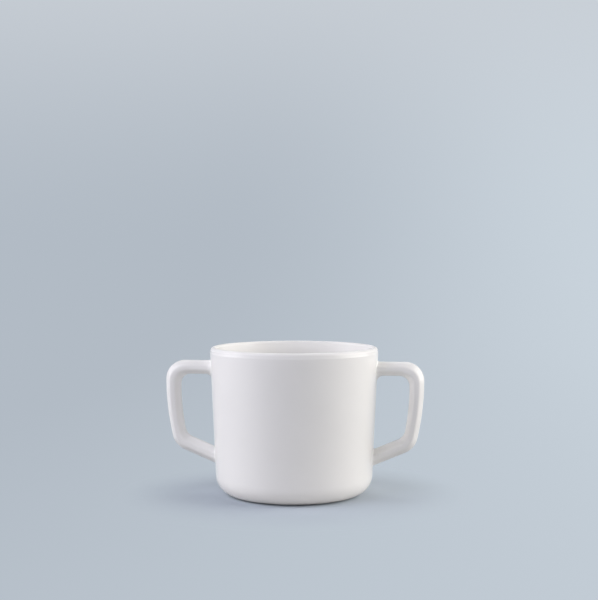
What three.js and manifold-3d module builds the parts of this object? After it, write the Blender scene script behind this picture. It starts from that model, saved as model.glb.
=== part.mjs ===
// A two-handled drinking cup in white moulded plastic: a tapered round body with a lip band,
// and a loop handle with bevelled sides on each side.
// Millimetres, +Z up. The origin is the centre of the foot, and the handles lie along X.

import * as THREE from "three";
import { mergeVertices } from "three/addons/utils/BufferGeometryUtils.js";
import Module from "manifold-3d";

const { degToRad } = THREE.MathUtils;

// Cup body, with the mouth measured across the parting line below the lip
const CUP_HEIGHT = 70;
const MOUTH_DIAMETER = 80;
const WALL_DRAFT = degToRad(2.6);
const WALL_THICKNESS = 2.5;
const HEEL_RADIUS = 9.2;
const FLOOR_THICKNESS = 2.8;
const INNER_HEEL_RADIUS = 6.5;

// Lip band, from the parting line up to the crest
const LIP_HEIGHT = 2.65;
const LIP_TILT = degToRad(5);
const LIP_ROUND = 1.5;

// Foot ring round a recessed base
const FOOT_RING_WIDTH = 3;
const FOOT_RECESS = 1.2;
const RECESS_DRAFT = degToRad(25);

// Loop handles with bevelled sides, placed from the rim, the mouth and the foot
const HANDLE_PROJECTION = 21.8;
const HANDLE_WIDTH = 10;
const TOP_ARM_DROP = 6.75;
const TOP_ARM_THICKNESS = 6.6;
const TOP_CORNER_OUTER = 10;
const TOP_CORNER_INNER = 6.5;
const GRIP_THICKNESS = 7;
const GRIP_BOW_RADIUS = 120;
const LOWER_CORNER_OUTER = 9.5;
const LOWER_CORNER_INNER = 7;
const LOWER_ARM_HEIGHT = 17.6;
const LOWER_ARM_THICKNESS = 7;
const LOWER_ARM_SLOPE = degToRad(22.8);
const ROOT_FILLET = 0.8;

// Share of each side of the handle's section that stays flat between the bevels,
// and how crisply the flats and bevels meet
const FLAT_SHARE = 0.36;
const EDGE_SHARPNESS = 18;

// Bond line between a handle root and the cup wall
const BOND_LINE = 0.3;

// Facets
const TURN_SEGMENTS = 72;
const ARC_STEP = degToRad(15);
const SECTION_STEPS = 36;
const CORNER_STEPS = 6;
const GRIP_STEPS = 6;
const ROOT_STEPS = 3;

const wasm = await Module();
wasm.setup();

// Heights and radii that follow from the sizes above
const partingHeight = CUP_HEIGHT - LIP_HEIGHT;
const partingRadius = MOUTH_DIAMETER / 2;
const innerRadius = partingRadius - WALL_THICKNESS / Math.cos(WALL_DRAFT);
const floorHeight = FOOT_RECESS + FLOOR_THICKNESS;
const topArmHeight = CUP_HEIGHT - TOP_ARM_DROP;
const handleReach = partingRadius + HANDLE_PROJECTION;

// Radius of the drafted outer wall at a height
function wallRadius(z) {
  return partingRadius - (partingHeight - z) * Math.tan(WALL_DRAFT);
}

// Arc about a centre, turning to the left unless clockwise
function arc(centre, radius, from, to, clockwise = false) {
  return new THREE.EllipseCurve(centre.x, centre.y, radius, radius, from, to, clockwise);
}

// Points along a run of curves, with arcs cut into equal steps and lines kept whole
function outline(curves) {
  const points = [curves[0].getPoint(0)];
  for (const curve of curves) {
    const sweep = curve.isEllipseCurve ? Math.abs(curve.aEndAngle - curve.aStartAngle) : 0;
    const steps = Math.max(1, Math.ceil(sweep / ARC_STEP));
    for (let i = 1; i <= steps; i += 1) {
      points.push(curve.getPoint(i / steps));
    }
  }
  return points;
}

// Solid of revolution about Z from a profile of radius and height
function turned(curves) {
  return new THREE.LatheGeometry(outline(curves), TURN_SEGMENTS).rotateX(Math.PI / 2);
}

// Centre of a heel round that touches a drafted wall and a level floor
function heelCentre(radiusAtParting, floor, round) {
  const z = floor + round;
  const drop = (partingHeight - z) * Math.sin(WALL_DRAFT);
  return new THREE.Vector2(radiusAtParting - (drop + round) / Math.cos(WALL_DRAFT), z);
}

// Outer side of the body from the foot to the parting line, grown outwards by a clearance
function outerSide(clearance) {
  const centre = heelCentre(partingRadius, 0, HEEL_RADIUS);
  const heel = arc(centre, HEEL_RADIUS + clearance, -Math.PI / 2, -WALL_DRAFT);
  const top = new THREE.Vector2(partingRadius + clearance / Math.cos(WALL_DRAFT), partingHeight);
  return [heel, new THREE.LineCurve(heel.getPoint(1), top)];
}

// Distance from the corner under the crest to the top of a round that fills it
function setBack(round, tilt) {
  return round * Math.tan(Math.PI / 4 - tilt / 2);
}

// Lip from the parting line over the crest to the inner wall, its two rounds meeting at the crest
function lip() {
  const outerEdge = partingRadius - LIP_HEIGHT * Math.tan(LIP_TILT);
  const innerEdge = innerRadius + LIP_HEIGHT * Math.tan(WALL_DRAFT);
  const outerRound = Math.min(LIP_ROUND, 0.75 * (outerEdge - innerEdge));
  const crest = outerEdge - setBack(outerRound, LIP_TILT);
  const innerRound = (crest - innerEdge) / setBack(1, WALL_DRAFT);
  const outerCentre = new THREE.Vector2(crest, CUP_HEIGHT - outerRound);
  const innerCentre = new THREE.Vector2(crest, CUP_HEIGHT - innerRound);
  const outer = arc(outerCentre, outerRound, LIP_TILT, Math.PI / 2);
  const inner = arc(innerCentre, innerRound, Math.PI / 2, Math.PI - WALL_DRAFT);
  const parting = new THREE.Vector2(partingRadius, partingHeight);
  return [new THREE.LineCurve(parting, outer.getPoint(0)), outer, inner];
}

// Cup body: recessed base, foot ring, heel, wall, lip, inner wall and floor in one moulding
function cupBodyGeometry() {
  const outer = outerSide(0);
  const rim = lip();
  const foot = outer[0].getPoint(0);
  const ringInner = new THREE.Vector2(foot.x - FOOT_RING_WIDTH, 0);
  const recessRadius = ringInner.x - FOOT_RECESS * Math.tan(RECESS_DRAFT);
  const recessEdge = new THREE.Vector2(recessRadius, FOOT_RECESS);
  const innerCentre = heelCentre(innerRadius, floorHeight, INNER_HEEL_RADIUS);
  const innerHeel = arc(innerCentre, INNER_HEEL_RADIUS, -WALL_DRAFT, -Math.PI / 2, true);
  return turned([
    new THREE.LineCurve(new THREE.Vector2(0, FOOT_RECESS), recessEdge),
    new THREE.LineCurve(recessEdge, ringInner),
    new THREE.LineCurve(ringInner, foot),
    ...outer,
    ...rim,
    new THREE.LineCurve(rim.at(-1).getPoint(1), innerHeel.getPoint(0)),
    innerHeel,
    new THREE.LineCurve(innerHeel.getPoint(1), new THREE.Vector2(0, floorHeight)),
  ]);
}

// One edge line of the handle in its own plane: top arm, corner, bowed grip, corner, lower arm.
// Both arms start at the wall. The lower arm's line lies to one side of the arm's middle.
function handleRail({ armHeight, reach, bow, topCorner, lowerCorner, lowerSide }) {
  const topCentre = new THREE.Vector2(reach - topCorner, armHeight - topCorner);
  const bowCentre = new THREE.Vector2(reach - bow, topCentre.y);

  // The lower corner touches the lower arm's line, and touches the bow from inside
  const along = new THREE.Vector2(Math.cos(LOWER_ARM_SLOPE), Math.sin(LOWER_ARM_SLOPE));
  const upward = new THREE.Vector2(-along.y, along.x);
  const lowerCentre = new THREE.Vector2(wallRadius(LOWER_ARM_HEIGHT), LOWER_ARM_HEIGHT);
  lowerCentre.addScaledVector(upward, lowerSide + lowerCorner);
  const fromBow = lowerCentre.clone().sub(bowCentre);
  const lean = fromBow.dot(along);
  const spare = (bow - lowerCorner) ** 2 - fromBow.lengthSq();
  lowerCentre.addScaledVector(along, Math.sqrt(lean * lean + spare) - lean);
  const bowEnd = lowerCentre.clone().sub(bowCentre).angle() - 2 * Math.PI;

  const topArc = arc(topCentre, topCorner, Math.PI / 2, 0, true);
  const grip = arc(bowCentre, bow, 0, bowEnd, true);
  const lowerArc = arc(lowerCentre, lowerCorner, bowEnd, LOWER_ARM_SLOPE - Math.PI / 2, true);

  // The lower arm's line runs back to the drafted wall
  const lowerTop = lowerArc.getPoint(1);
  const clear = lowerTop.x - wallRadius(lowerTop.y);
  const run = clear / (along.x - along.y * Math.tan(WALL_DRAFT));
  const lowerRoot = lowerTop.clone().addScaledVector(along, -run);
  const topRoot = new THREE.Vector2(wallRadius(armHeight), armHeight);
  return {
    topArm: new THREE.LineCurve(topRoot, topArc.getPoint(0)),
    topArc,
    grip,
    lowerArc,
    lowerArm: new THREE.LineCurve(lowerRoot, lowerTop),
  };
}

// How far the section reaches in a direction, in a unit square with its four corners bevelled
function sectionReach(angle) {
  const x = Math.abs(Math.cos(angle));
  const y = Math.abs(Math.sin(angle));
  const bevel = (x + y) / (1 + FLAT_SHARE);
  const blend = x ** EDGE_SHARPNESS + y ** EDGE_SHARPNESS + bevel ** EDGE_SHARPNESS;
  return blend ** (-1 / EDGE_SHARPNESS);
}

// Section of the handle between two points of its rails: flats and bevels, grown by a flare.
// A wrap of 1 bends it round the wall, and 0 leaves it flat.
function handleSection(outer, inner, flare = 0, wrap = 0) {
  const middle = outer.clone().add(inner).multiplyScalar(0.5);
  const across = outer.clone().sub(inner).normalize();
  const halfThickness = outer.distanceTo(inner) / 2 + flare;
  const halfWidth = HANDLE_WIDTH / 2 + flare;
  const section = [];
  for (let i = 0; i < SECTION_STEPS; i += 1) {
    const angle = (i / SECTION_STEPS) * 2 * Math.PI;
    const a = halfThickness * sectionReach(angle) * Math.cos(angle);
    const y = halfWidth * sectionReach(angle) * Math.sin(angle);
    const z = middle.y + across.y * a;
    const wall = wallRadius(z);
    const sag = wall - Math.sqrt(wall * wall - y * y);
    section.push(new THREE.Vector3(middle.x + across.x * a - wrap * sag, y, z));
  }
  return section;
}

// Sections of a root, from inside the wall out to where its fillet ends on the arm
function rootSections(outerArm, innerArm) {
  const at = (arm, distance) => arm.getPoint(distance / arm.getLength());
  const sections = [];
  for (let i = 0; i <= ROOT_STEPS; i += 1) {
    const angle = (i / ROOT_STEPS) * (Math.PI / 2);
    const distance = ROOT_FILLET * (1 - Math.cos(angle));
    const flare = ROOT_FILLET * (1 - Math.sin(angle));
    const wrap = Math.cos(angle);
    sections.push(handleSection(at(outerArm, distance), at(innerArm, distance), flare, wrap));
  }
  const inside = at(outerArm, 0).setX(at(outerArm, 0).x - WALL_THICKNESS);
  const insideInner = at(innerArm, 0).setX(at(innerArm, 0).x - WALL_THICKNESS);
  return [handleSection(inside, insideInner, ROOT_FILLET, 1), ...sections];
}

// Sections along both rails, from inside the wall at the top root to inside it at the lower root
function handleSections() {
  const outer = handleRail({
    armHeight: topArmHeight,
    reach: handleReach,
    bow: GRIP_BOW_RADIUS,
    topCorner: TOP_CORNER_OUTER,
    lowerCorner: LOWER_CORNER_OUTER,
    lowerSide: -LOWER_ARM_THICKNESS / 2,
  });
  const inner = handleRail({
    armHeight: topArmHeight - TOP_ARM_THICKNESS,
    reach: handleReach - GRIP_THICKNESS,
    bow: GRIP_BOW_RADIUS - GRIP_THICKNESS,
    topCorner: TOP_CORNER_INNER,
    lowerCorner: LOWER_CORNER_INNER,
    lowerSide: LOWER_ARM_THICKNESS / 2,
  });
  const between = (name, steps, first) => {
    const sections = [];
    for (let i = first; i <= steps; i += 1) {
      const t = i / steps;
      sections.push(handleSection(outer[name].getPoint(t), inner[name].getPoint(t)));
    }
    return sections;
  };
  return [
    ...rootSections(outer.topArm, inner.topArm),
    ...between("topArc", CORNER_STEPS, 0),
    ...between("grip", GRIP_STEPS, 1),
    ...between("lowerArc", CORNER_STEPS, 1),
    ...rootSections(outer.lowerArm, inner.lowerArm).reverse(),
  ];
}

// Closed skin over a row of sections, with a fan over each end
function lofted(sections) {
  const count = sections[0].length;
  const last = (sections.length - 1) * count;
  const index = [];
  for (let start = 0; start < last; start += count) {
    for (let i = 0; i < count; i += 1) {
      const a = start + i;
      const b = start + ((i + 1) % count);
      index.push(a, a + count, b, b, a + count, b + count);
    }
  }
  for (let i = 1; i + 1 < count; i += 1) {
    index.push(0, i, i + 1);
    index.push(last, last + i + 1, last + i);
  }
  const geometry = new THREE.BufferGeometry().setFromPoints(sections.flat());
  return geometry.setIndex(index);
}

// Solid of a closed geometry
function solidOf(geometry) {
  const bare = geometry.clone();
  bare.deleteAttribute("normal");
  bare.deleteAttribute("uv");
  const welded = mergeVertices(bare);
  return new wasm.Manifold(new wasm.Mesh({
    numProp: 3,
    vertProperties: welded.attributes.position.array,
    triVerts: Uint32Array.from(welded.index.array),
  }));
}

// Geometry of a solid
function geometryOf(solid) {
  const mesh = solid.getMesh();
  const geometry = new THREE.BufferGeometry();
  geometry.setAttribute("position", new THREE.BufferAttribute(mesh.vertProperties, 3));
  geometry.setIndex(new THREE.BufferAttribute(mesh.triVerts, 1));
  geometry.computeVertexNormals();
  return geometry;
}

// Loop handle on the +X side, its two roots cut to the form of the wall they sit on
function handleGeometry() {
  const side = outerSide(BOND_LINE);
  const bottom = side[0].getPoint(0);
  const top = side[1].getPoint(1);
  const wallForm = turned([
    new THREE.LineCurve(new THREE.Vector2(0, bottom.y), bottom),
    ...side,
    new THREE.LineCurve(top, new THREE.Vector2(0, top.y)),
  ]);
  return geometryOf(solidOf(lofted(handleSections())).subtract(solidOf(wallForm)));
}

// Named piece of the cup, in white plastic with a soft gloss
function piece(name, geometry) {
  const plastic = new THREE.MeshStandardMaterial({ color: 0xefeeea, roughness: 0.25, metalness: 0 });
  const mesh = new THREE.Mesh(geometry, plastic);
  mesh.name = name;
  return mesh;
}

const loop = handleGeometry();
const rightHandle = piece("right_handle", loop);
const leftHandle = piece("left_handle", loop);
leftHandle.rotation.z = Math.PI;

const cup = new THREE.Group();
cup.name = "two_handled_cup";
cup.add(piece("cup_body", cupBodyGeometry()), rightHandle, leftHandle);

export default cup;
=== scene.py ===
import math

import bpy
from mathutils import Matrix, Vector


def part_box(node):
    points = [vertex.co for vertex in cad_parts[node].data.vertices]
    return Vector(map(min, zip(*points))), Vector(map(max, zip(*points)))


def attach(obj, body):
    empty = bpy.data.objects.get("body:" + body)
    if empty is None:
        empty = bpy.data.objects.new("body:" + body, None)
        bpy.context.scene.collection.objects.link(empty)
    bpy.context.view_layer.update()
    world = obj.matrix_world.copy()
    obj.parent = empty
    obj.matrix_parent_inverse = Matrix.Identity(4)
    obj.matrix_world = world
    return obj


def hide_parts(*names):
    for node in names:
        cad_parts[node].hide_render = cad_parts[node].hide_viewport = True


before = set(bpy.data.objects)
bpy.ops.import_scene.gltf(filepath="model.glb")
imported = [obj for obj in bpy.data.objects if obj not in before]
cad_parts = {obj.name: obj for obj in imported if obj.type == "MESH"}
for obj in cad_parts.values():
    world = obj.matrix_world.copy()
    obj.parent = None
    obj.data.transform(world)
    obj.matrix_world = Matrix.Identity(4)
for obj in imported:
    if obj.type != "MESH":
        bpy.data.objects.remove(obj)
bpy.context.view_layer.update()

# The cup body is the round wall, floor, heel, foot ring and lip in one piece of white melamine.
# It is pressed from powder in a heated steel mould, which opens along the line below the lip,
# so the wall drafts open up to that line, and above it a slim lip band steps back in.

MM = 0.001
body_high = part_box("cup_body")[1]
CUP_HEIGHT = body_high.z
MOUTH_RADIUS = body_high.x
WALL_DRAFT = math.radians(2.6)
WALL_THICKNESS = 2.5 * MM
HEEL_ROUND = 9.2 * MM
FLOOR_THICKNESS = 2.8 * MM
INNER_HEEL_ROUND = 6.5 * MM
LIP_HEIGHT = 2.65 * MM
LIP_LEAN = math.radians(5)
LIP_ROUND = 1.5 * MM
SHOULDER_HEIGHT = 1.1 * MM
SHOULDER_ROUND = 0.3 * MM
PARTING_ROUND = 0.25 * MM
FOOT_RING_WIDTH = 3 * MM
FOOT_RING_ROUND = 0.4 * MM
FOOT_RECESS = 1.2 * MM
RECESS_DRAFT = math.radians(25)
RECESS_ROUND = 0.8 * MM
PROFILE_TURN_STEP = math.radians(6)
PROFILE_STRAIGHT_STEP = 4 * MM
TURN_SEGMENTS = 192

PARTING_HEIGHT = CUP_HEIGHT - LIP_HEIGHT
LIP_STEP = LIP_HEIGHT * math.tan(LIP_LEAN)
WALL_FLARE = math.tan(WALL_DRAFT)
WALL_FOOT_RADIUS = MOUTH_RADIUS - PARTING_HEIGHT * WALL_FLARE
FLOOR_HEIGHT = FOOT_RECESS + FLOOR_THICKNESS


def wall_radius(height):
    """Radius of the outer wall at a height."""
    return WALL_FOOT_RADIUS + height * WALL_FLARE


def rounded_outline(corners, turn_step, straight_step):
    """Points along a line through (across, up, round) corners, each corner turned by its round."""
    points = [Vector(corners[0][:2])]
    for before, corner, after in zip(corners, corners[1:], corners[2:]):
        place = Vector(corner[:2])
        back = (Vector(before[:2]) - place).normalized()
        on = (Vector(after[:2]) - place).normalized()
        half = back.angle(on) / 2
        centre = place + (back + on).normalized() * (corner[2] / math.sin(half))
        start = place + back * (corner[2] / math.tan(half)) - centre
        sweep = math.copysign(math.pi - 2 * half, back.x * on.y - back.y * on.x)
        steps = math.ceil(abs(sweep) / turn_step)
        for step in range(steps + 1):
            turn = -sweep * step / steps
            spoke = Vector((
                start.x * math.cos(turn) - start.y * math.sin(turn),
                start.x * math.sin(turn) + start.y * math.cos(turn),
            ))
            points.append(centre + spoke)
    points.append(Vector(corners[-1][:2]))

    outline = points[:1]
    for before, point in zip(points, points[1:]):
        parts = max(1, math.ceil((point - before).length / straight_step))
        outline += [before.lerp(point, part / parts) for part in range(1, parts + 1)]
    return [(point.x, 0, point.y) for point in outline]


def set_back(tilt):
    """How far a round of 1 reaches along a level face from the corner that it makes with a tilted one."""
    return math.tan(math.pi / 4 - tilt / 2)


def cup_profile():
    """The cup's half section, from the middle of its base round the lip to the middle of its floor."""
    ring_inner = WALL_FOOT_RADIUS - HEEL_ROUND * set_back(WALL_DRAFT) - FOOT_RING_WIDTH
    recess_radius = ring_inner - FOOT_RECESS * math.tan(RECESS_DRAFT)
    inside = WALL_THICKNESS / math.cos(WALL_DRAFT)
    outer_edge = MOUTH_RADIUS - LIP_STEP
    inner_edge = wall_radius(CUP_HEIGHT) - inside
    land = outer_edge - inner_edge
    inner_lip_round = (land - LIP_ROUND) / set_back(WALL_DRAFT)
    return rounded_outline(
        [
            (0, FOOT_RECESS, 0),
            (recess_radius, FOOT_RECESS, RECESS_ROUND),
            (ring_inner, 0, FOOT_RING_ROUND),
            (WALL_FOOT_RADIUS, 0, HEEL_ROUND),
            (MOUTH_RADIUS, PARTING_HEIGHT, PARTING_ROUND),
            (outer_edge, PARTING_HEIGHT + SHOULDER_HEIGHT, SHOULDER_ROUND),
            (outer_edge, CUP_HEIGHT, LIP_ROUND),
            (inner_edge, CUP_HEIGHT, inner_lip_round),
            (wall_radius(FLOOR_HEIGHT) - inside, FLOOR_HEIGHT, INNER_HEEL_ROUND),
            (0, FLOOR_HEIGHT, 0),
        ],
        PROFILE_TURN_STEP,
        PROFILE_STRAIGHT_STEP,
    )


def add_node(tree, kind, inputs, **settings):
    """Adds a node with its settings, sets or links its inputs, and gives back its outputs."""
    node = tree.nodes.new(kind)
    for name, value in settings.items():
        setattr(node, name, value)
    for socket, value in inputs.items():
        if isinstance(value, bpy.types.NodeSocket):
            tree.links.new(value, node.inputs[socket])
        else:
            node.inputs[socket].default_value = value
    return node.outputs


def shape_tree(name, inputs):
    """An empty shape tree with named inputs, and the outputs of its input node."""
    tree = bpy.data.node_groups.new(name, "GeometryNodeTree")
    for label, kind in inputs.items():
        tree.interface.new_socket(label, in_out="INPUT", socket_type=kind)
    tree.interface.new_socket("Shape", in_out="OUTPUT", socket_type="NodeSocketGeometry")
    return tree, add_node(tree, "NodeGroupInput", {})


WELD_DISTANCE = 0.001 * MM


def close_shape(tree, grid, position, material):
    """Ends a shape tree: moves the grid into place, welds its seams and gives it its material."""
    moved = add_node(tree, "GeometryNodeSetPosition", {"Geometry": grid, "Position": position})[0]
    welded = add_node(
        tree, "GeometryNodeMergeByDistance", {"Geometry": moved, "Distance": WELD_DISTANCE})[0]
    smooth = add_node(tree, "GeometryNodeSetShadeSmooth", {"Geometry": welded})[0]
    real = add_node(tree, "GeometryNodeRealizeInstances", {"Geometry": smooth})[0]
    made = add_node(tree, "GeometryNodeSetMaterial", {"Geometry": real, "Material": material})[0]
    add_node(tree, "NodeGroupOutput", {"Shape": made})


def turning_tree():
    """Turns a row of profile points about Z, one full turn in equal segments."""
    tree, given = shape_tree("turned about its axis", {
        "Profile": "NodeSocketGeometry",
        "Segments": "NodeSocketInt",
        "Material": "NodeSocketMaterial",
    })
    count = add_node(tree, "GeometryNodeAttributeDomainSize", {"Geometry": given["Profile"]})[0]
    columns = add_node(tree, "ShaderNodeMath", {0: given["Segments"], 1: 1})[0]
    grid = add_node(tree, "GeometryNodeMeshGrid", {"Vertices X": columns, "Vertices Y": count})[0]
    index = add_node(tree, "GeometryNodeInputIndex", {})[0]
    row = add_node(tree, "ShaderNodeMath", {0: index, 1: count}, operation="FLOORED_MODULO")[0]
    column = add_node(tree, "ShaderNodeMath", {0: index, 1: count}, operation="DIVIDE")[0]
    column = add_node(tree, "ShaderNodeMath", {0: column}, operation="FLOOR")[0]
    part = add_node(tree, "ShaderNodeMath", {0: column, 1: given["Segments"]}, operation="DIVIDE")[0]
    angle = add_node(tree, "ShaderNodeMath", {0: part, 1: -2 * math.pi}, operation="MULTIPLY")[0]
    place = add_node(tree, "GeometryNodeInputPosition", {})[0]
    point = add_node(
        tree, "GeometryNodeSampleIndex",
        {"Geometry": given["Profile"], "Value": place, "Index": row},
        data_type="FLOAT_VECTOR",
    )[0]
    turned = add_node(
        tree, "ShaderNodeVectorRotate",
        {"Vector": point, "Angle": angle},
        rotation_type="Z_AXIS",
    )[0]
    close_shape(tree, grid, turned, given["Material"])
    return tree


def grown_piece(name, points, tree, sizes, attributes=None):
    """A plain mesh object made by running a row of points through a shape tree."""
    row = bpy.data.meshes.new(name)
    row.from_pydata(points, [], [])
    for label, values in (attributes or {}).items():
        row.attributes.new(label, "FLOAT", "POINT").data.foreach_set("value", values)
    piece = bpy.data.objects.new(name, row)
    bpy.context.scene.collection.objects.link(piece)
    modifier = piece.modifiers.new(name, "NODES")
    modifier.node_group = tree
    for item in tree.interface.items_tree:
        if item.name in sizes:
            modifier[item.identifier] = sizes[item.name]
    evaluated = piece.evaluated_get(bpy.context.evaluated_depsgraph_get())
    shape = bpy.data.meshes.new_from_object(evaluated)
    shape.name = name
    piece.modifiers.remove(modifier)
    piece.data = shape
    return piece


def linear(hex_colour):
    """A hex sRGB colour as linear RGBA."""
    parts = [int(hex_colour[i:i + 2], 16) / 255 for i in (1, 3, 5)]
    return (*[p / 12.92 if p <= 0.04045 else ((p + 0.055) / 1.055) ** 2.4 for p in parts], 1)


# The colour sockets of a Mix node are told apart by number, because their names repeat
FACTOR, COLOUR_A, COLOUR_B, MIXED_COLOUR = 0, 6, 7, 2

MELAMINE_WHITE = "#f4f3f1"
FLOW_WHITE = "#f9f8f6"
FLOW_SIZE = 22 * MM
FLOW_DETAIL = 2
FLOW_LOW, FLOW_HIGH = 0.3, 0.7
GLOSS_SMOOTH, GLOSS_DULL = 0.17, 0.23
# Melamine has an index of about 1.6; it is matched down to the softer gloss of this cup
MELAMINE_IOR = 1.42
PEEL_SIZE = 2.4 * MM
PEEL_DEPTH = 0.004 * MM
PEEL_DETAIL = 1
SCUFF_COLOUR = "#d2cfc9"
SCUFF_SIZE = 1.1 * MM
SCUFF_HEIGHT = 0.35 * MM
SCUFF_DETAIL = 4
SCUFF_DULLING = 0.4
LIP_WEAR_HEIGHT = 2 * MM
LIP_DULLING = 0.22


def moulded_melamine():
    """White melamine from a polished mould: a soft, even gloss over an opaque white.

    The resin flows leave two close whites, the skin has a faint orange peel that softens
    reflections, the lip is worn duller by use, and the foot ring is scuffed where it stands.
    """
    material = bpy.data.materials.new("white_compression_moulded_melamine")
    material.use_nodes = True
    tree = material.node_tree
    tree.nodes.clear()
    place = add_node(tree, "ShaderNodeTexCoord", {})["Object"]
    height = add_node(tree, "ShaderNodeSeparateXYZ", {0: place})["Z"]

    # Soft drifts between two whites, where the powder melted and flowed
    flow = add_node(
        tree, "ShaderNodeTexNoise", {"Vector": place, "Scale": 1 / FLOW_SIZE, "Detail": FLOW_DETAIL})[0]
    white = add_node(
        tree, "ShaderNodeMix",
        {FACTOR: flow, COLOUR_A: linear(MELAMINE_WHITE), COLOUR_B: linear(FLOW_WHITE)},
        data_type="RGBA",
    )[MIXED_COLOUR]

    # The foot ring's underside, broken up into scuffs that are drawn coarser than real ones, to show
    scuffs = add_node(
        tree, "ShaderNodeTexNoise", {"Vector": place, "Scale": 1 / SCUFF_SIZE, "Detail": SCUFF_DETAIL})[0]
    worn = add_node(
        tree, "ShaderNodeMapRange",
        {"Value": height, "From Min": 0.0, "From Max": SCUFF_HEIGHT, "To Min": 1.0, "To Max": 0.0},
        interpolation_type="SMOOTHSTEP",
    )[0]
    worn = add_node(tree, "ShaderNodeMath", {0: worn, 1: scuffs}, operation="MULTIPLY")[0]
    colour = add_node(
        tree, "ShaderNodeMix",
        {FACTOR: worn, COLOUR_A: white, COLOUR_B: linear(SCUFF_COLOUR)},
        data_type="RGBA",
    )[MIXED_COLOUR]

    # Gloss: uneven by a little with the flow, duller on the lip and on the scuffs
    roughness = add_node(tree, "ShaderNodeMapRange", {
        "Value": flow,
        "From Min": FLOW_LOW,
        "From Max": FLOW_HIGH,
        "To Min": GLOSS_SMOOTH,
        "To Max": GLOSS_DULL,
    })[0]
    lip_wear = add_node(tree, "ShaderNodeMapRange", {
        "Value": height,
        "From Min": CUP_HEIGHT - LIP_WEAR_HEIGHT,
        "From Max": CUP_HEIGHT,
        "To Min": 0.0,
        "To Max": LIP_DULLING,
    })[0]
    roughness = add_node(tree, "ShaderNodeMath", {0: roughness, 1: lip_wear})[0]
    roughness = add_node(
        tree, "ShaderNodeMath", {0: worn, 1: SCUFF_DULLING, 2: roughness}, operation="MULTIPLY_ADD")[0]

    # Orange peel of the moulded skin, drawn a little coarser than it is so that it shows
    peel = add_node(
        tree, "ShaderNodeTexNoise", {"Vector": place, "Scale": 1 / PEEL_SIZE, "Detail": PEEL_DETAIL})[0]
    normal = add_node(tree, "ShaderNodeBump", {"Height": peel, "Distance": PEEL_DEPTH})[0]
    shader = add_node(tree, "ShaderNodeBsdfPrincipled", {
        "Base Color": colour,
        "Roughness": roughness,
        "IOR": MELAMINE_IOR,
        "Normal": normal,
    })[0]
    add_node(tree, "ShaderNodeOutputMaterial", {"Surface": shader})
    return material


melamine = moulded_melamine()
turning = turning_tree()
cup_body = grown_piece(
    "cup_body_moulding",
    cup_profile(),
    turning,
    {"Segments": TURN_SEGMENTS, "Material": melamine},
)
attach(cup_body, "root")
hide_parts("cup_body")

# The loop handles are solid melamine, alike on both sides, with a level top arm, a bowed grip and
# a sloping lower arm. Their sides are bevelled so that the mould lets go of them, and each root
# spreads in a small fillet, larger under the top arm, that runs out on the wall it is moulded to.

HANDLE_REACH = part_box("right_handle")[1].x
HANDLE_WIDTH = 10 * MM
TOP_ARM_HEIGHT = CUP_HEIGHT - 6.75 * MM
TOP_ARM_THICKNESS = 6.6 * MM
TOP_CORNER_OUTER = 9 * MM
TOP_CORNER_INNER = 4.8 * MM
GRIP_THICKNESS = 7 * MM
GRIP_BOW_RADIUS = 120 * MM
LOWER_CORNER_OUTER = 9.5 * MM
LOWER_CORNER_INNER = 5.5 * MM
LOWER_ARM_HEIGHT = 17.6 * MM
LOWER_ARM_THICKNESS = 7 * MM
LOWER_ARM_SLOPE = math.radians(22.8)
ROOT_FILLET = 0.8 * MM
TOP_ARM_UNDER_FILLET = 3 * MM
ROOT_SKIRT = 0.4 * MM
SKIRT_DEPTH = 0.04 * MM
ROOT_DEPTH = 1.2 * MM
FLAT_SHARE = 0.36
EDGE_SHARPNESS = 18.0
SECTION_STEPS = 96
TOP_CORNER_STEPS = 18
BOW_STEPS = 20
LOWER_CORNER_STEPS = 14
FILLET_STEPS = 10
ARM_STEPS = 6


def arc_points(centre, radius, start, end, steps):
    """Points round an arc, both ends included."""
    angles = [start + (end - start) * step / steps for step in range(steps + 1)]
    return [centre + radius * Vector((math.cos(angle), math.sin(angle))) for angle in angles]


def handle_rail(arm_height, reach, bow, top_corner, lower_corner, lower_side):
    """One edge line of the handle in its plane: its top arm's root, its bends and its lower root."""
    top_centre = Vector((reach - top_corner, arm_height - top_corner))
    bow_centre = Vector((reach - bow, top_centre.y))
    along = Vector((math.cos(LOWER_ARM_SLOPE), math.sin(LOWER_ARM_SLOPE)))
    upward = Vector((-along.y, along.x))
    lower_centre = Vector((wall_radius(LOWER_ARM_HEIGHT), LOWER_ARM_HEIGHT))
    lower_centre += upward * (lower_side + lower_corner)
    from_bow = lower_centre - bow_centre
    lean = from_bow.dot(along)
    spare = (bow - lower_corner) ** 2 - from_bow.length_squared
    lower_centre += along * (math.sqrt(lean * lean + spare) - lean)
    bow_end = math.atan2(lower_centre.y - bow_centre.y, lower_centre.x - bow_centre.x)

    lower_end = LOWER_ARM_SLOPE - math.pi / 2
    bends = arc_points(top_centre, top_corner, math.pi / 2, 0, TOP_CORNER_STEPS)
    bends += arc_points(bow_centre, bow, 0, bow_end, BOW_STEPS)[1:]
    bends += arc_points(lower_centre, lower_corner, bow_end, lower_end, LOWER_CORNER_STEPS)[1:]
    clear = bends[-1].x - wall_radius(bends[-1].y)
    lower_root = bends[-1] - along * (clear / (along.x - along.y * WALL_FLARE))
    return Vector((wall_radius(arm_height), arm_height)), bends, lower_root


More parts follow.
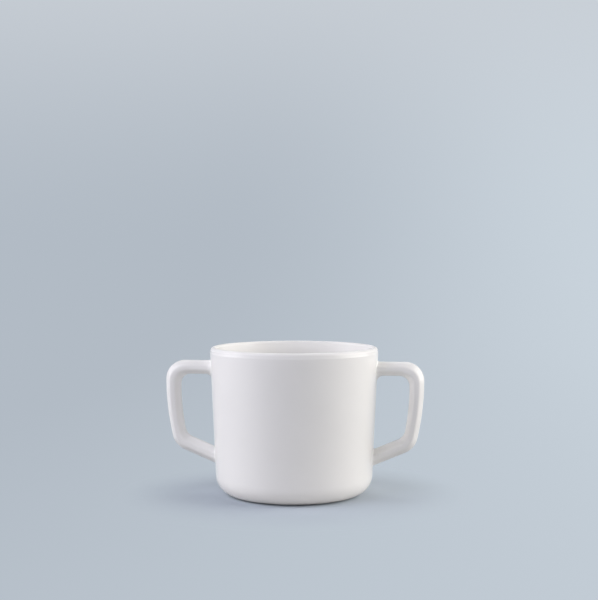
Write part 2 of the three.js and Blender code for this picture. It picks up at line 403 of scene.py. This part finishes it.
def root_stations(outer, inner, outer_arm, inner_arm, inner_fillet):
    """Stations of a root: a closed end inside the wall, a skirt under its surface, its fillets, its arm."""
    inwards = Vector((-1, 0))
    down_wall = Vector((-WALL_FLARE, -1))
    spare = inner_fillet - ROOT_FILLET
    low = inner + down_wall * spare
    stations = [
        (outer + inwards * ROOT_DEPTH, low + inwards * ROOT_DEPTH, 0, 1, 0),
        (outer + inwards * ROOT_DEPTH, low + inwards * ROOT_DEPTH, ROOT_FILLET + ROOT_SKIRT, 1, 1),
        (outer + inwards * SKIRT_DEPTH, low + inwards * SKIRT_DEPTH, ROOT_FILLET + ROOT_SKIRT, 1, 1),
    ]
    outer_along = (outer_arm - outer).normalized()
    inner_along = (inner_arm - inner).normalized()
    for step in range(FILLET_STEPS + 1):
        turn = step / FILLET_STEPS * math.pi / 2
        run = 1 - math.cos(turn)
        rise = 1 - math.sin(turn)
        stations.append((
            outer + outer_along * (ROOT_FILLET * run),
            inner + inner_along * (inner_fillet * run) + down_wall * (spare * rise),
            ROOT_FILLET * rise,
            math.cos(turn),
            1,
        ))
    last = stations[-1]
    for step in range(1, ARM_STEPS):
        share = step / ARM_STEPS
        stations.append((last[0].lerp(outer_arm, share), last[1].lerp(inner_arm, share), 0, 0, 1))
    return stations


def handle_stations():
    """Places along the handle: outer point, inner point, flare, wrap round the wall, full or closed."""
    outer_root, outer, outer_end = handle_rail(
        TOP_ARM_HEIGHT, HANDLE_REACH, GRIP_BOW_RADIUS,
        TOP_CORNER_OUTER, LOWER_CORNER_OUTER, -LOWER_ARM_THICKNESS / 2,
    )
    inner_root, inner, inner_end = handle_rail(
        TOP_ARM_HEIGHT - TOP_ARM_THICKNESS, HANDLE_REACH - GRIP_THICKNESS,
        GRIP_BOW_RADIUS - GRIP_THICKNESS,
        TOP_CORNER_INNER, LOWER_CORNER_INNER, LOWER_ARM_THICKNESS / 2,
    )
    top = root_stations(outer_root, inner_root, outer[0], inner[0], TOP_ARM_UNDER_FILLET)
    middle = [(o, i, 0, 0, 1) for o, i in zip(outer, inner)]
    lower = root_stations(outer_end, inner_end, outer[-1], inner[-1], ROOT_FILLET)
    return top + middle + lower[::-1]


# The vector sockets of a Mix node, by number for the same reason
VECTOR_A, VECTOR_B, MIXED_VECTOR = 4, 5, 1
HALF = 0.5


def loop_tree():
    """Carries a bevelled section along stations between two rails, wrapped round the wall at its roots."""
    tree, given = shape_tree("bevelled loop between two rails", {
        "Stations": "NodeSocketGeometry",
        "Width": "NodeSocketFloat",
        "Flat share": "NodeSocketFloat",
        "Sharpness": "NodeSocketFloat",
        "Steps round": "NodeSocketInt",
        "Wall foot radius": "NodeSocketFloat",
        "Wall flare": "NodeSocketFloat",
        "Material": "NodeSocketMaterial",
    })
    count = add_node(tree, "GeometryNodeAttributeDomainSize", {"Geometry": given["Stations"]})[0]
    columns = add_node(tree, "ShaderNodeMath", {0: given["Steps round"], 1: 1})[0]
    grid = add_node(tree, "GeometryNodeMeshGrid", {"Vertices X": columns, "Vertices Y": count})[0]

    # Which station and which point of the section each grid point is
    index = add_node(tree, "GeometryNodeInputIndex", {})[0]
    station = add_node(tree, "ShaderNodeMath", {0: index, 1: count}, operation="FLOORED_MODULO")[0]
    column = add_node(tree, "ShaderNodeMath", {0: index, 1: count}, operation="DIVIDE")[0]
    column = add_node(tree, "ShaderNodeMath", {0: column}, operation="FLOOR")[0]
    part = add_node(tree, "ShaderNodeMath", {0: column, 1: given["Steps round"]}, operation="DIVIDE")[0]
    turn = add_node(tree, "ShaderNodeMath", {0: part, 1: 2 * math.pi}, operation="MULTIPLY")[0]

    # The station's own values
    values = {}
    for label in ("outer x", "outer z", "inner x", "inner z", "flare", "wrap", "size"):
        value = add_node(tree, "GeometryNodeInputNamedAttribute", {"Name": label}, data_type="FLOAT")[0]
        values[label] = add_node(
            tree, "GeometryNodeSampleIndex",
            {"Geometry": given["Stations"], "Value": value, "Index": station},
            data_type="FLOAT",
        )[0]
    outer = add_node(tree, "ShaderNodeCombineXYZ", {"X": values["outer x"], "Z": values["outer z"]})[0]
    inner = add_node(tree, "ShaderNodeCombineXYZ", {"X": values["inner x"], "Z": values["inner z"]})[0]
    span = add_node(tree, "ShaderNodeVectorMath", {0: outer, 1: inner}, operation="SUBTRACT")[0]
    across = add_node(tree, "ShaderNodeVectorMath", {0: span}, operation="NORMALIZE")[0]
    thickness = add_node(tree, "ShaderNodeVectorMath", {0: outer, 1: inner}, operation="DISTANCE")["Value"]
    middle = add_node(
        tree, "ShaderNodeMix",
        {FACTOR: HALF, VECTOR_A: outer, VECTOR_B: inner},
        data_type="VECTOR",
    )[MIXED_VECTOR]

    # The section: four faces and four bevels, blended into each other by a high power
    waves = [
        add_node(tree, "ShaderNodeMath", {0: turn}, operation=wave)[0]
        for wave in ("COSINE", "SINE")
    ]
    sides = [add_node(tree, "ShaderNodeMath", {0: wave}, operation="ABSOLUTE")[0] for wave in waves]
    bevel_line = add_node(tree, "ShaderNodeMath", {0: given["Flat share"], 1: 1.0})[0]
    bevel = add_node(tree, "ShaderNodeMath", {0: sides[0], 1: sides[1]})[0]
    bevel = add_node(tree, "ShaderNodeMath", {0: bevel, 1: bevel_line}, operation="DIVIDE")[0]
    total = 0.0
    for side in (*sides, bevel):
        power = add_node(tree, "ShaderNodeMath", {0: side, 1: given["Sharpness"]}, operation="POWER")[0]
        total = add_node(tree, "ShaderNodeMath", {0: power, 1: total})[0]
    root = add_node(tree, "ShaderNodeMath", {0: -1.0, 1: given["Sharpness"]}, operation="DIVIDE")[0]
    spread = add_node(tree, "ShaderNodeMath", {0: total, 1: root}, operation="POWER")[0]

    # Half its thickness and half its width, both grown by the root's flare
    offsets = []
    for size, wave in ((thickness, waves[0]), (given["Width"], waves[1])):
        half = add_node(
            tree, "ShaderNodeMath", {0: size, 1: HALF, 2: values["flare"]}, operation="MULTIPLY_ADD")[0]
        half = add_node(tree, "ShaderNodeMath", {0: half, 1: values["size"]}, operation="MULTIPLY")[0]
        half = add_node(tree, "ShaderNodeMath", {0: half, 1: spread}, operation="MULTIPLY")[0]
        offsets.append(add_node(tree, "ShaderNodeMath", {0: half, 1: wave}, operation="MULTIPLY")[0])
    point = add_node(tree, "ShaderNodeVectorMath", {0: across, "Scale": offsets[0]}, operation="SCALE")[0]
    point = add_node(tree, "ShaderNodeVectorMath", {0: middle, 1: point})[0]

    # At a root the section bends back with the round wall
    height = add_node(tree, "ShaderNodeSeparateXYZ", {0: point})["Z"]
    wall = add_node(
        tree, "ShaderNodeMath",
        {0: height, 1: given["Wall flare"], 2: given["Wall foot radius"]},
        operation="MULTIPLY_ADD",
    )[0]
    wall_squared = add_node(tree, "ShaderNodeMath", {0: wall, 1: wall}, operation="MULTIPLY")[0]
    offset_squared = add_node(
        tree, "ShaderNodeMath", {0: offsets[1], 1: offsets[1]}, operation="MULTIPLY")[0]
    near = add_node(tree, "ShaderNodeMath", {0: wall_squared, 1: offset_squared}, operation="SUBTRACT")[0]
    near = add_node(tree, "ShaderNodeMath", {0: near}, operation="SQRT")[0]
    sag = add_node(tree, "ShaderNodeMath", {0: near, 1: wall}, operation="SUBTRACT")[0]
    sag = add_node(tree, "ShaderNodeMath", {0: sag, 1: values["wrap"]}, operation="MULTIPLY")[0]
    shift = add_node(tree, "ShaderNodeCombineXYZ", {"X": sag, "Y": offsets[1]})[0]
    position = add_node(tree, "ShaderNodeVectorMath", {0: point, 1: shift})[0]
    close_shape(tree, grid, position, given["Material"])
    return tree


loop = loop_tree()
stations = handle_stations()
station_values = {
    "outer x": [s[0].x for s in stations],
    "outer z": [s[0].y for s in stations],
    "inner x": [s[1].x for s in stations],
    "inner z": [s[1].y for s in stations],
    "flare": [s[2] for s in stations],
    "wrap": [s[3] for s in stations],
    "size": [s[4] for s in stations],
}
loop_sizes = {
    "Width": HANDLE_WIDTH,
    "Flat share": FLAT_SHARE,
    "Sharpness": EDGE_SHARPNESS,
    "Steps round": SECTION_STEPS,
    "Wall foot radius": WALL_FOOT_RADIUS,
    "Wall flare": WALL_FLARE,
    "Material": melamine,
}
for side, half_turn in (("right", 1), ("left", -1)):
    handle = grown_piece(
        f"{side}_loop_handle",
        [(0, 0, 0)] * len(stations),
        loop,
        loop_sizes,
        station_values,
    )
    for vertex in handle.data.vertices:
        vertex.co.x *= half_turn
        vertex.co.y *= half_turn
    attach(handle, "root")
    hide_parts(f"{side}_handle")

# The floor is one sheet of matt pale backdrop paper. It lies flat under the cup and sweeps up
# all round in a wide curve, so that no edge or corner of it shows.

FLOOR_RADIUS = 1.6
SWEEP_ROUND = 0.9
SWEEP_HEIGHT = 1.0
FLOOR_CLEARANCE = 0.05 * MM
SWEEP_TURN_STEP = math.radians(5)
SWEEP_STRAIGHT_STEP = 0.3
SWEEP_SEGMENTS = 96
# Painted light on the paper: darker to the left, lighter to the right and towards the top
LEFT_PAPER_SHADED = "#b2bbc5"
RIGHT_PAPER_LIT = "#c9d3dc"
UPPER_PAPER_LIT = "#c9cfd6"
DRIFT_START, DRIFT_END = -0.25, 0.35
RISE_START, RISE_END = 0.1, 0.7
SHADOW_REACH = 35 * MM
EVEN_REACH = 85 * MM
NEAR_BOUNCE = "#c4c4c4"
FAR_BOUNCE = "#a4a4a4"


def backdrop_paper():
    """Matt pale blue-grey paper with painted light, lighter to the right and the top and darker to the
    left, that throws back a neutral light.

    Close to the cup it takes the cup's shadow; further off it shows its colour, painted light included,
    evenly.
    """
    material = bpy.data.materials.new("matt_backdrop_paper")
    material.use_nodes = True
    tree = material.node_tree
    tree.nodes.clear()
    place = add_node(tree, "ShaderNodeTexCoord", {})["Object"]
    axes = add_node(tree, "ShaderNodeSeparateXYZ", {0: place})
    rightwards = add_node(
        tree, "ShaderNodeMapRange",
        {"Value": axes["X"], "From Min": DRIFT_START, "From Max": DRIFT_END},
        interpolation_type="SMOOTHSTEP",
    )[0]
    upwards = add_node(
        tree, "ShaderNodeMapRange",
        {"Value": axes["Z"], "From Min": RISE_START, "From Max": RISE_END},
        interpolation_type="SMOOTHSTEP",
    )[0]
    # Painted light: the paper's colour goes lighter to the right and upwards, as if more light fell there
    colour = add_node(
        tree, "ShaderNodeMix",
        {FACTOR: rightwards, COLOUR_A: linear(LEFT_PAPER_SHADED), COLOUR_B: linear(RIGHT_PAPER_LIT)},
        data_type="RGBA",
    )[MIXED_COLOUR]
    colour = add_node(
        tree, "ShaderNodeMix",
        {FACTOR: upwards, COLOUR_A: colour, COLOUR_B: linear(UPPER_PAPER_LIT)},
        data_type="RGBA",
    )[MIXED_COLOUR]

    # How far off the middle a point is, from the cup's shadow to the even sheet
    flat_place = add_node(tree, "ShaderNodeCombineXYZ", {"X": axes["X"], "Y": axes["Y"]})[0]
    distance = add_node(tree, "ShaderNodeVectorMath", {0: flat_place}, operation="LENGTH")["Value"]
    far = add_node(
        tree, "ShaderNodeMapRange",
        {"Value": distance, "From Min": SHADOW_REACH, "From Max": EVEN_REACH},
        interpolation_type="SMOOTHSTEP",
    )[0]

    # What the camera and the gloss see is the paper's colour with its painted light;
    # the light that it throws back is neutral and fades outwards
    rays = add_node(tree, "ShaderNodeLightPath", {})
    seen = add_node(tree, "ShaderNodeMath", {0: rays["Is Camera Ray"], 1: rays["Is Glossy Ray"]})[0]
    seen = add_node(tree, "ShaderNodeMath", {0: seen, 1: rays["Is Transmission Ray"]}, use_clamp=True)[0]
    bounce = add_node(
        tree, "ShaderNodeMix",
        {FACTOR: far, COLOUR_A: linear(NEAR_BOUNCE), COLOUR_B: linear(FAR_BOUNCE)},
        data_type="RGBA",
    )[MIXED_COLOUR]
    paper_colour = add_node(
        tree, "ShaderNodeMix",
        {FACTOR: seen, COLOUR_A: bounce, COLOUR_B: colour},
        data_type="RGBA",
    )[MIXED_COLOUR]
    matt = add_node(tree, "ShaderNodeBsdfDiffuse", {"Color": paper_colour})[0]
    flat = add_node(tree, "ShaderNodeEmission", {"Color": colour})[0]
    share = add_node(tree, "ShaderNodeMath", {0: far, 1: seen}, operation="MULTIPLY")[0]
    surface = add_node(tree, "ShaderNodeMixShader", {0: share, 1: matt, 2: flat})[0]
    add_node(tree, "ShaderNodeOutputMaterial", {"Surface": surface})
    return material


paper = backdrop_paper()
sweep_profile = rounded_outline(
    [
        (FLOOR_RADIUS, SWEEP_HEIGHT, 0),
        (FLOOR_RADIUS, -FLOOR_CLEARANCE, SWEEP_ROUND),
        (0, -FLOOR_CLEARANCE, 0),
    ],
    SWEEP_TURN_STEP,
    SWEEP_STRAIGHT_STEP,
)
floor = grown_piece("floor_sweep", sweep_profile, turning, {"Segments": SWEEP_SEGMENTS, "Material": paper})

# Plain soft studio light that faces the cup: a tall softbox on each side, a smaller one high at the
# front left, a low strip in front, a high softbox behind, and a dim even world.

VIEW_TURN = math.radians(6)
WORLD_STRENGTH = 0.005


def softbox(name, azimuth, elevation, distance, width, height, power, colour):
    """A flat soft lamp that faces the cup, placed by its angles in degrees from the camera's side."""
    turn = VIEW_TURN + math.radians(azimuth - 90)
    rise = math.radians(elevation)
    toward = Vector((math.cos(turn) * math.cos(rise), math.sin(turn) * math.cos(rise), math.sin(rise)))
    lamp = bpy.data.lights.new(name, "AREA")
    lamp.shape = "RECTANGLE"
    lamp.size = width
    lamp.size_y = height
    lamp.energy = power
    lamp.color = linear(colour)[:3]
    box = bpy.data.objects.new(name, lamp)
    box.location = Vector((0, 0, CUP_HEIGHT / 2)) + toward * distance
    box.rotation_euler = (-toward).to_track_quat("-Z", "Y").to_euler()
    box.visible_camera = False
    bpy.context.scene.collection.objects.link(box)


softbox(
    "left_softbox", azimuth=-90, elevation=18, distance=0.9,
    width=0.6, height=1.1, power=6.4, colour="#fefcff",
)
softbox(
    "left_front_softbox", azimuth=-50, elevation=40, distance=0.9,
    width=0.6, height=0.5, power=3.0, colour="#f0f0ff",
)
softbox(
    "right_softbox", azimuth=90, elevation=17, distance=0.9,
    width=0.85, height=1.1, power=11.8, colour="#fffcf9",
)
softbox(
    "front_strip", azimuth=0, elevation=6, distance=1.0,
    width=1.4, height=0.16, power=1.9, colour="#f7f9ff",
)
softbox(
    "back_softbox", azimuth=180, elevation=55, distance=1.0,
    width=0.8, height=0.5, power=2.0, colour="#fbfdff",
)
world = bpy.data.worlds.new("even_studio")
world.use_nodes = True
world.node_tree.nodes.clear()
dim_light = add_node(
    world.node_tree, "ShaderNodeBackground", {"Color": linear("#ffffff"), "Strength": WORLD_STRENGTH})[0]
add_node(world.node_tree, "ShaderNodeOutputWorld", {"Surface": dim_light})
bpy.context.scene.world = world
bpy.context.scene.view_settings.view_transform = "Standard"

# The camera stands almost in front of the cup and a little above it, turned slightly to the right
# handle's side. Its place and its lens are fitted to the cup's outlines.

VIEW_TILT = 0.042
VIEW_DISTANCE = 0.5931
VIEW_SIDE = 0.0023
VIEW_HEIGHT = 0.1172
FOCAL_PIXELS = 1247.3
FRAME_PIXELS = 600
SENSOR_WIDTH = 36

camera_data = bpy.data.cameras.new("photo_camera")
camera_data.sensor_width = SENSOR_WIDTH
camera_data.lens = SENSOR_WIDTH * FOCAL_PIXELS / FRAME_PIXELS
camera = bpy.data.objects.new("photo_camera", camera_data)
camera.location = (
    VIEW_SIDE * math.cos(VIEW_TURN) + VIEW_DISTANCE * math.sin(VIEW_TURN),
    VIEW_SIDE * math.sin(VIEW_TURN) - VIEW_DISTANCE * math.cos(VIEW_TURN),
    VIEW_HEIGHT,
)
camera.rotation_euler = (math.pi / 2 - VIEW_TILT, 0, VIEW_TURN)
bpy.context.scene.collection.objects.link(camera)
bpy.context.scene.camera = camera
